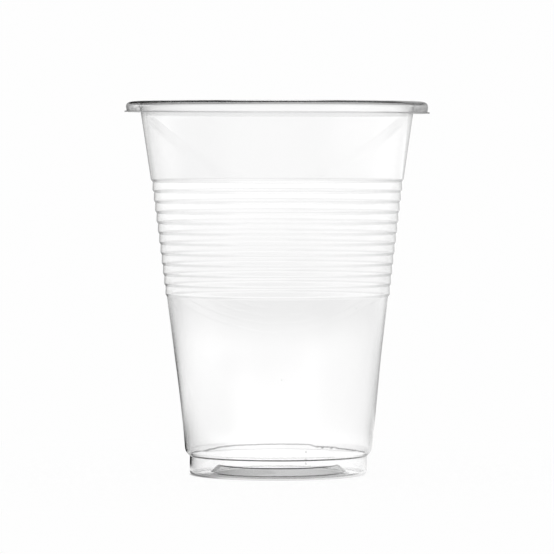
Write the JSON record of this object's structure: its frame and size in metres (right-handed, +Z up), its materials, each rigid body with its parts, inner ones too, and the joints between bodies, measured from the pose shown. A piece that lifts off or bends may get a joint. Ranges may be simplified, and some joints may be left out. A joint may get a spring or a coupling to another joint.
{
  "type": "plastic disposable cup",
  "caption": "Thin clear plastic drinking cup with a ribbed band round its tapered wall, a narrow foot and a turned-out rim.",
  "frame": {"origin": "centre of the cup on the surface that it stands on", "axes": "+Z up along the cup's axis, from the foot to the rim; X and Y are alike, because the cup is round"},
  "size_m": [0.0734, 0.0734, 0.09],
  "materials": {
    "clear_plastic": "clear colourless polypropylene sheet, glossy and slightly hazy, with faint flow marks from forming"
  },
  "bodies": {
    "root": {"cup": "clear_plastic"}
  },
  "joints": []
}
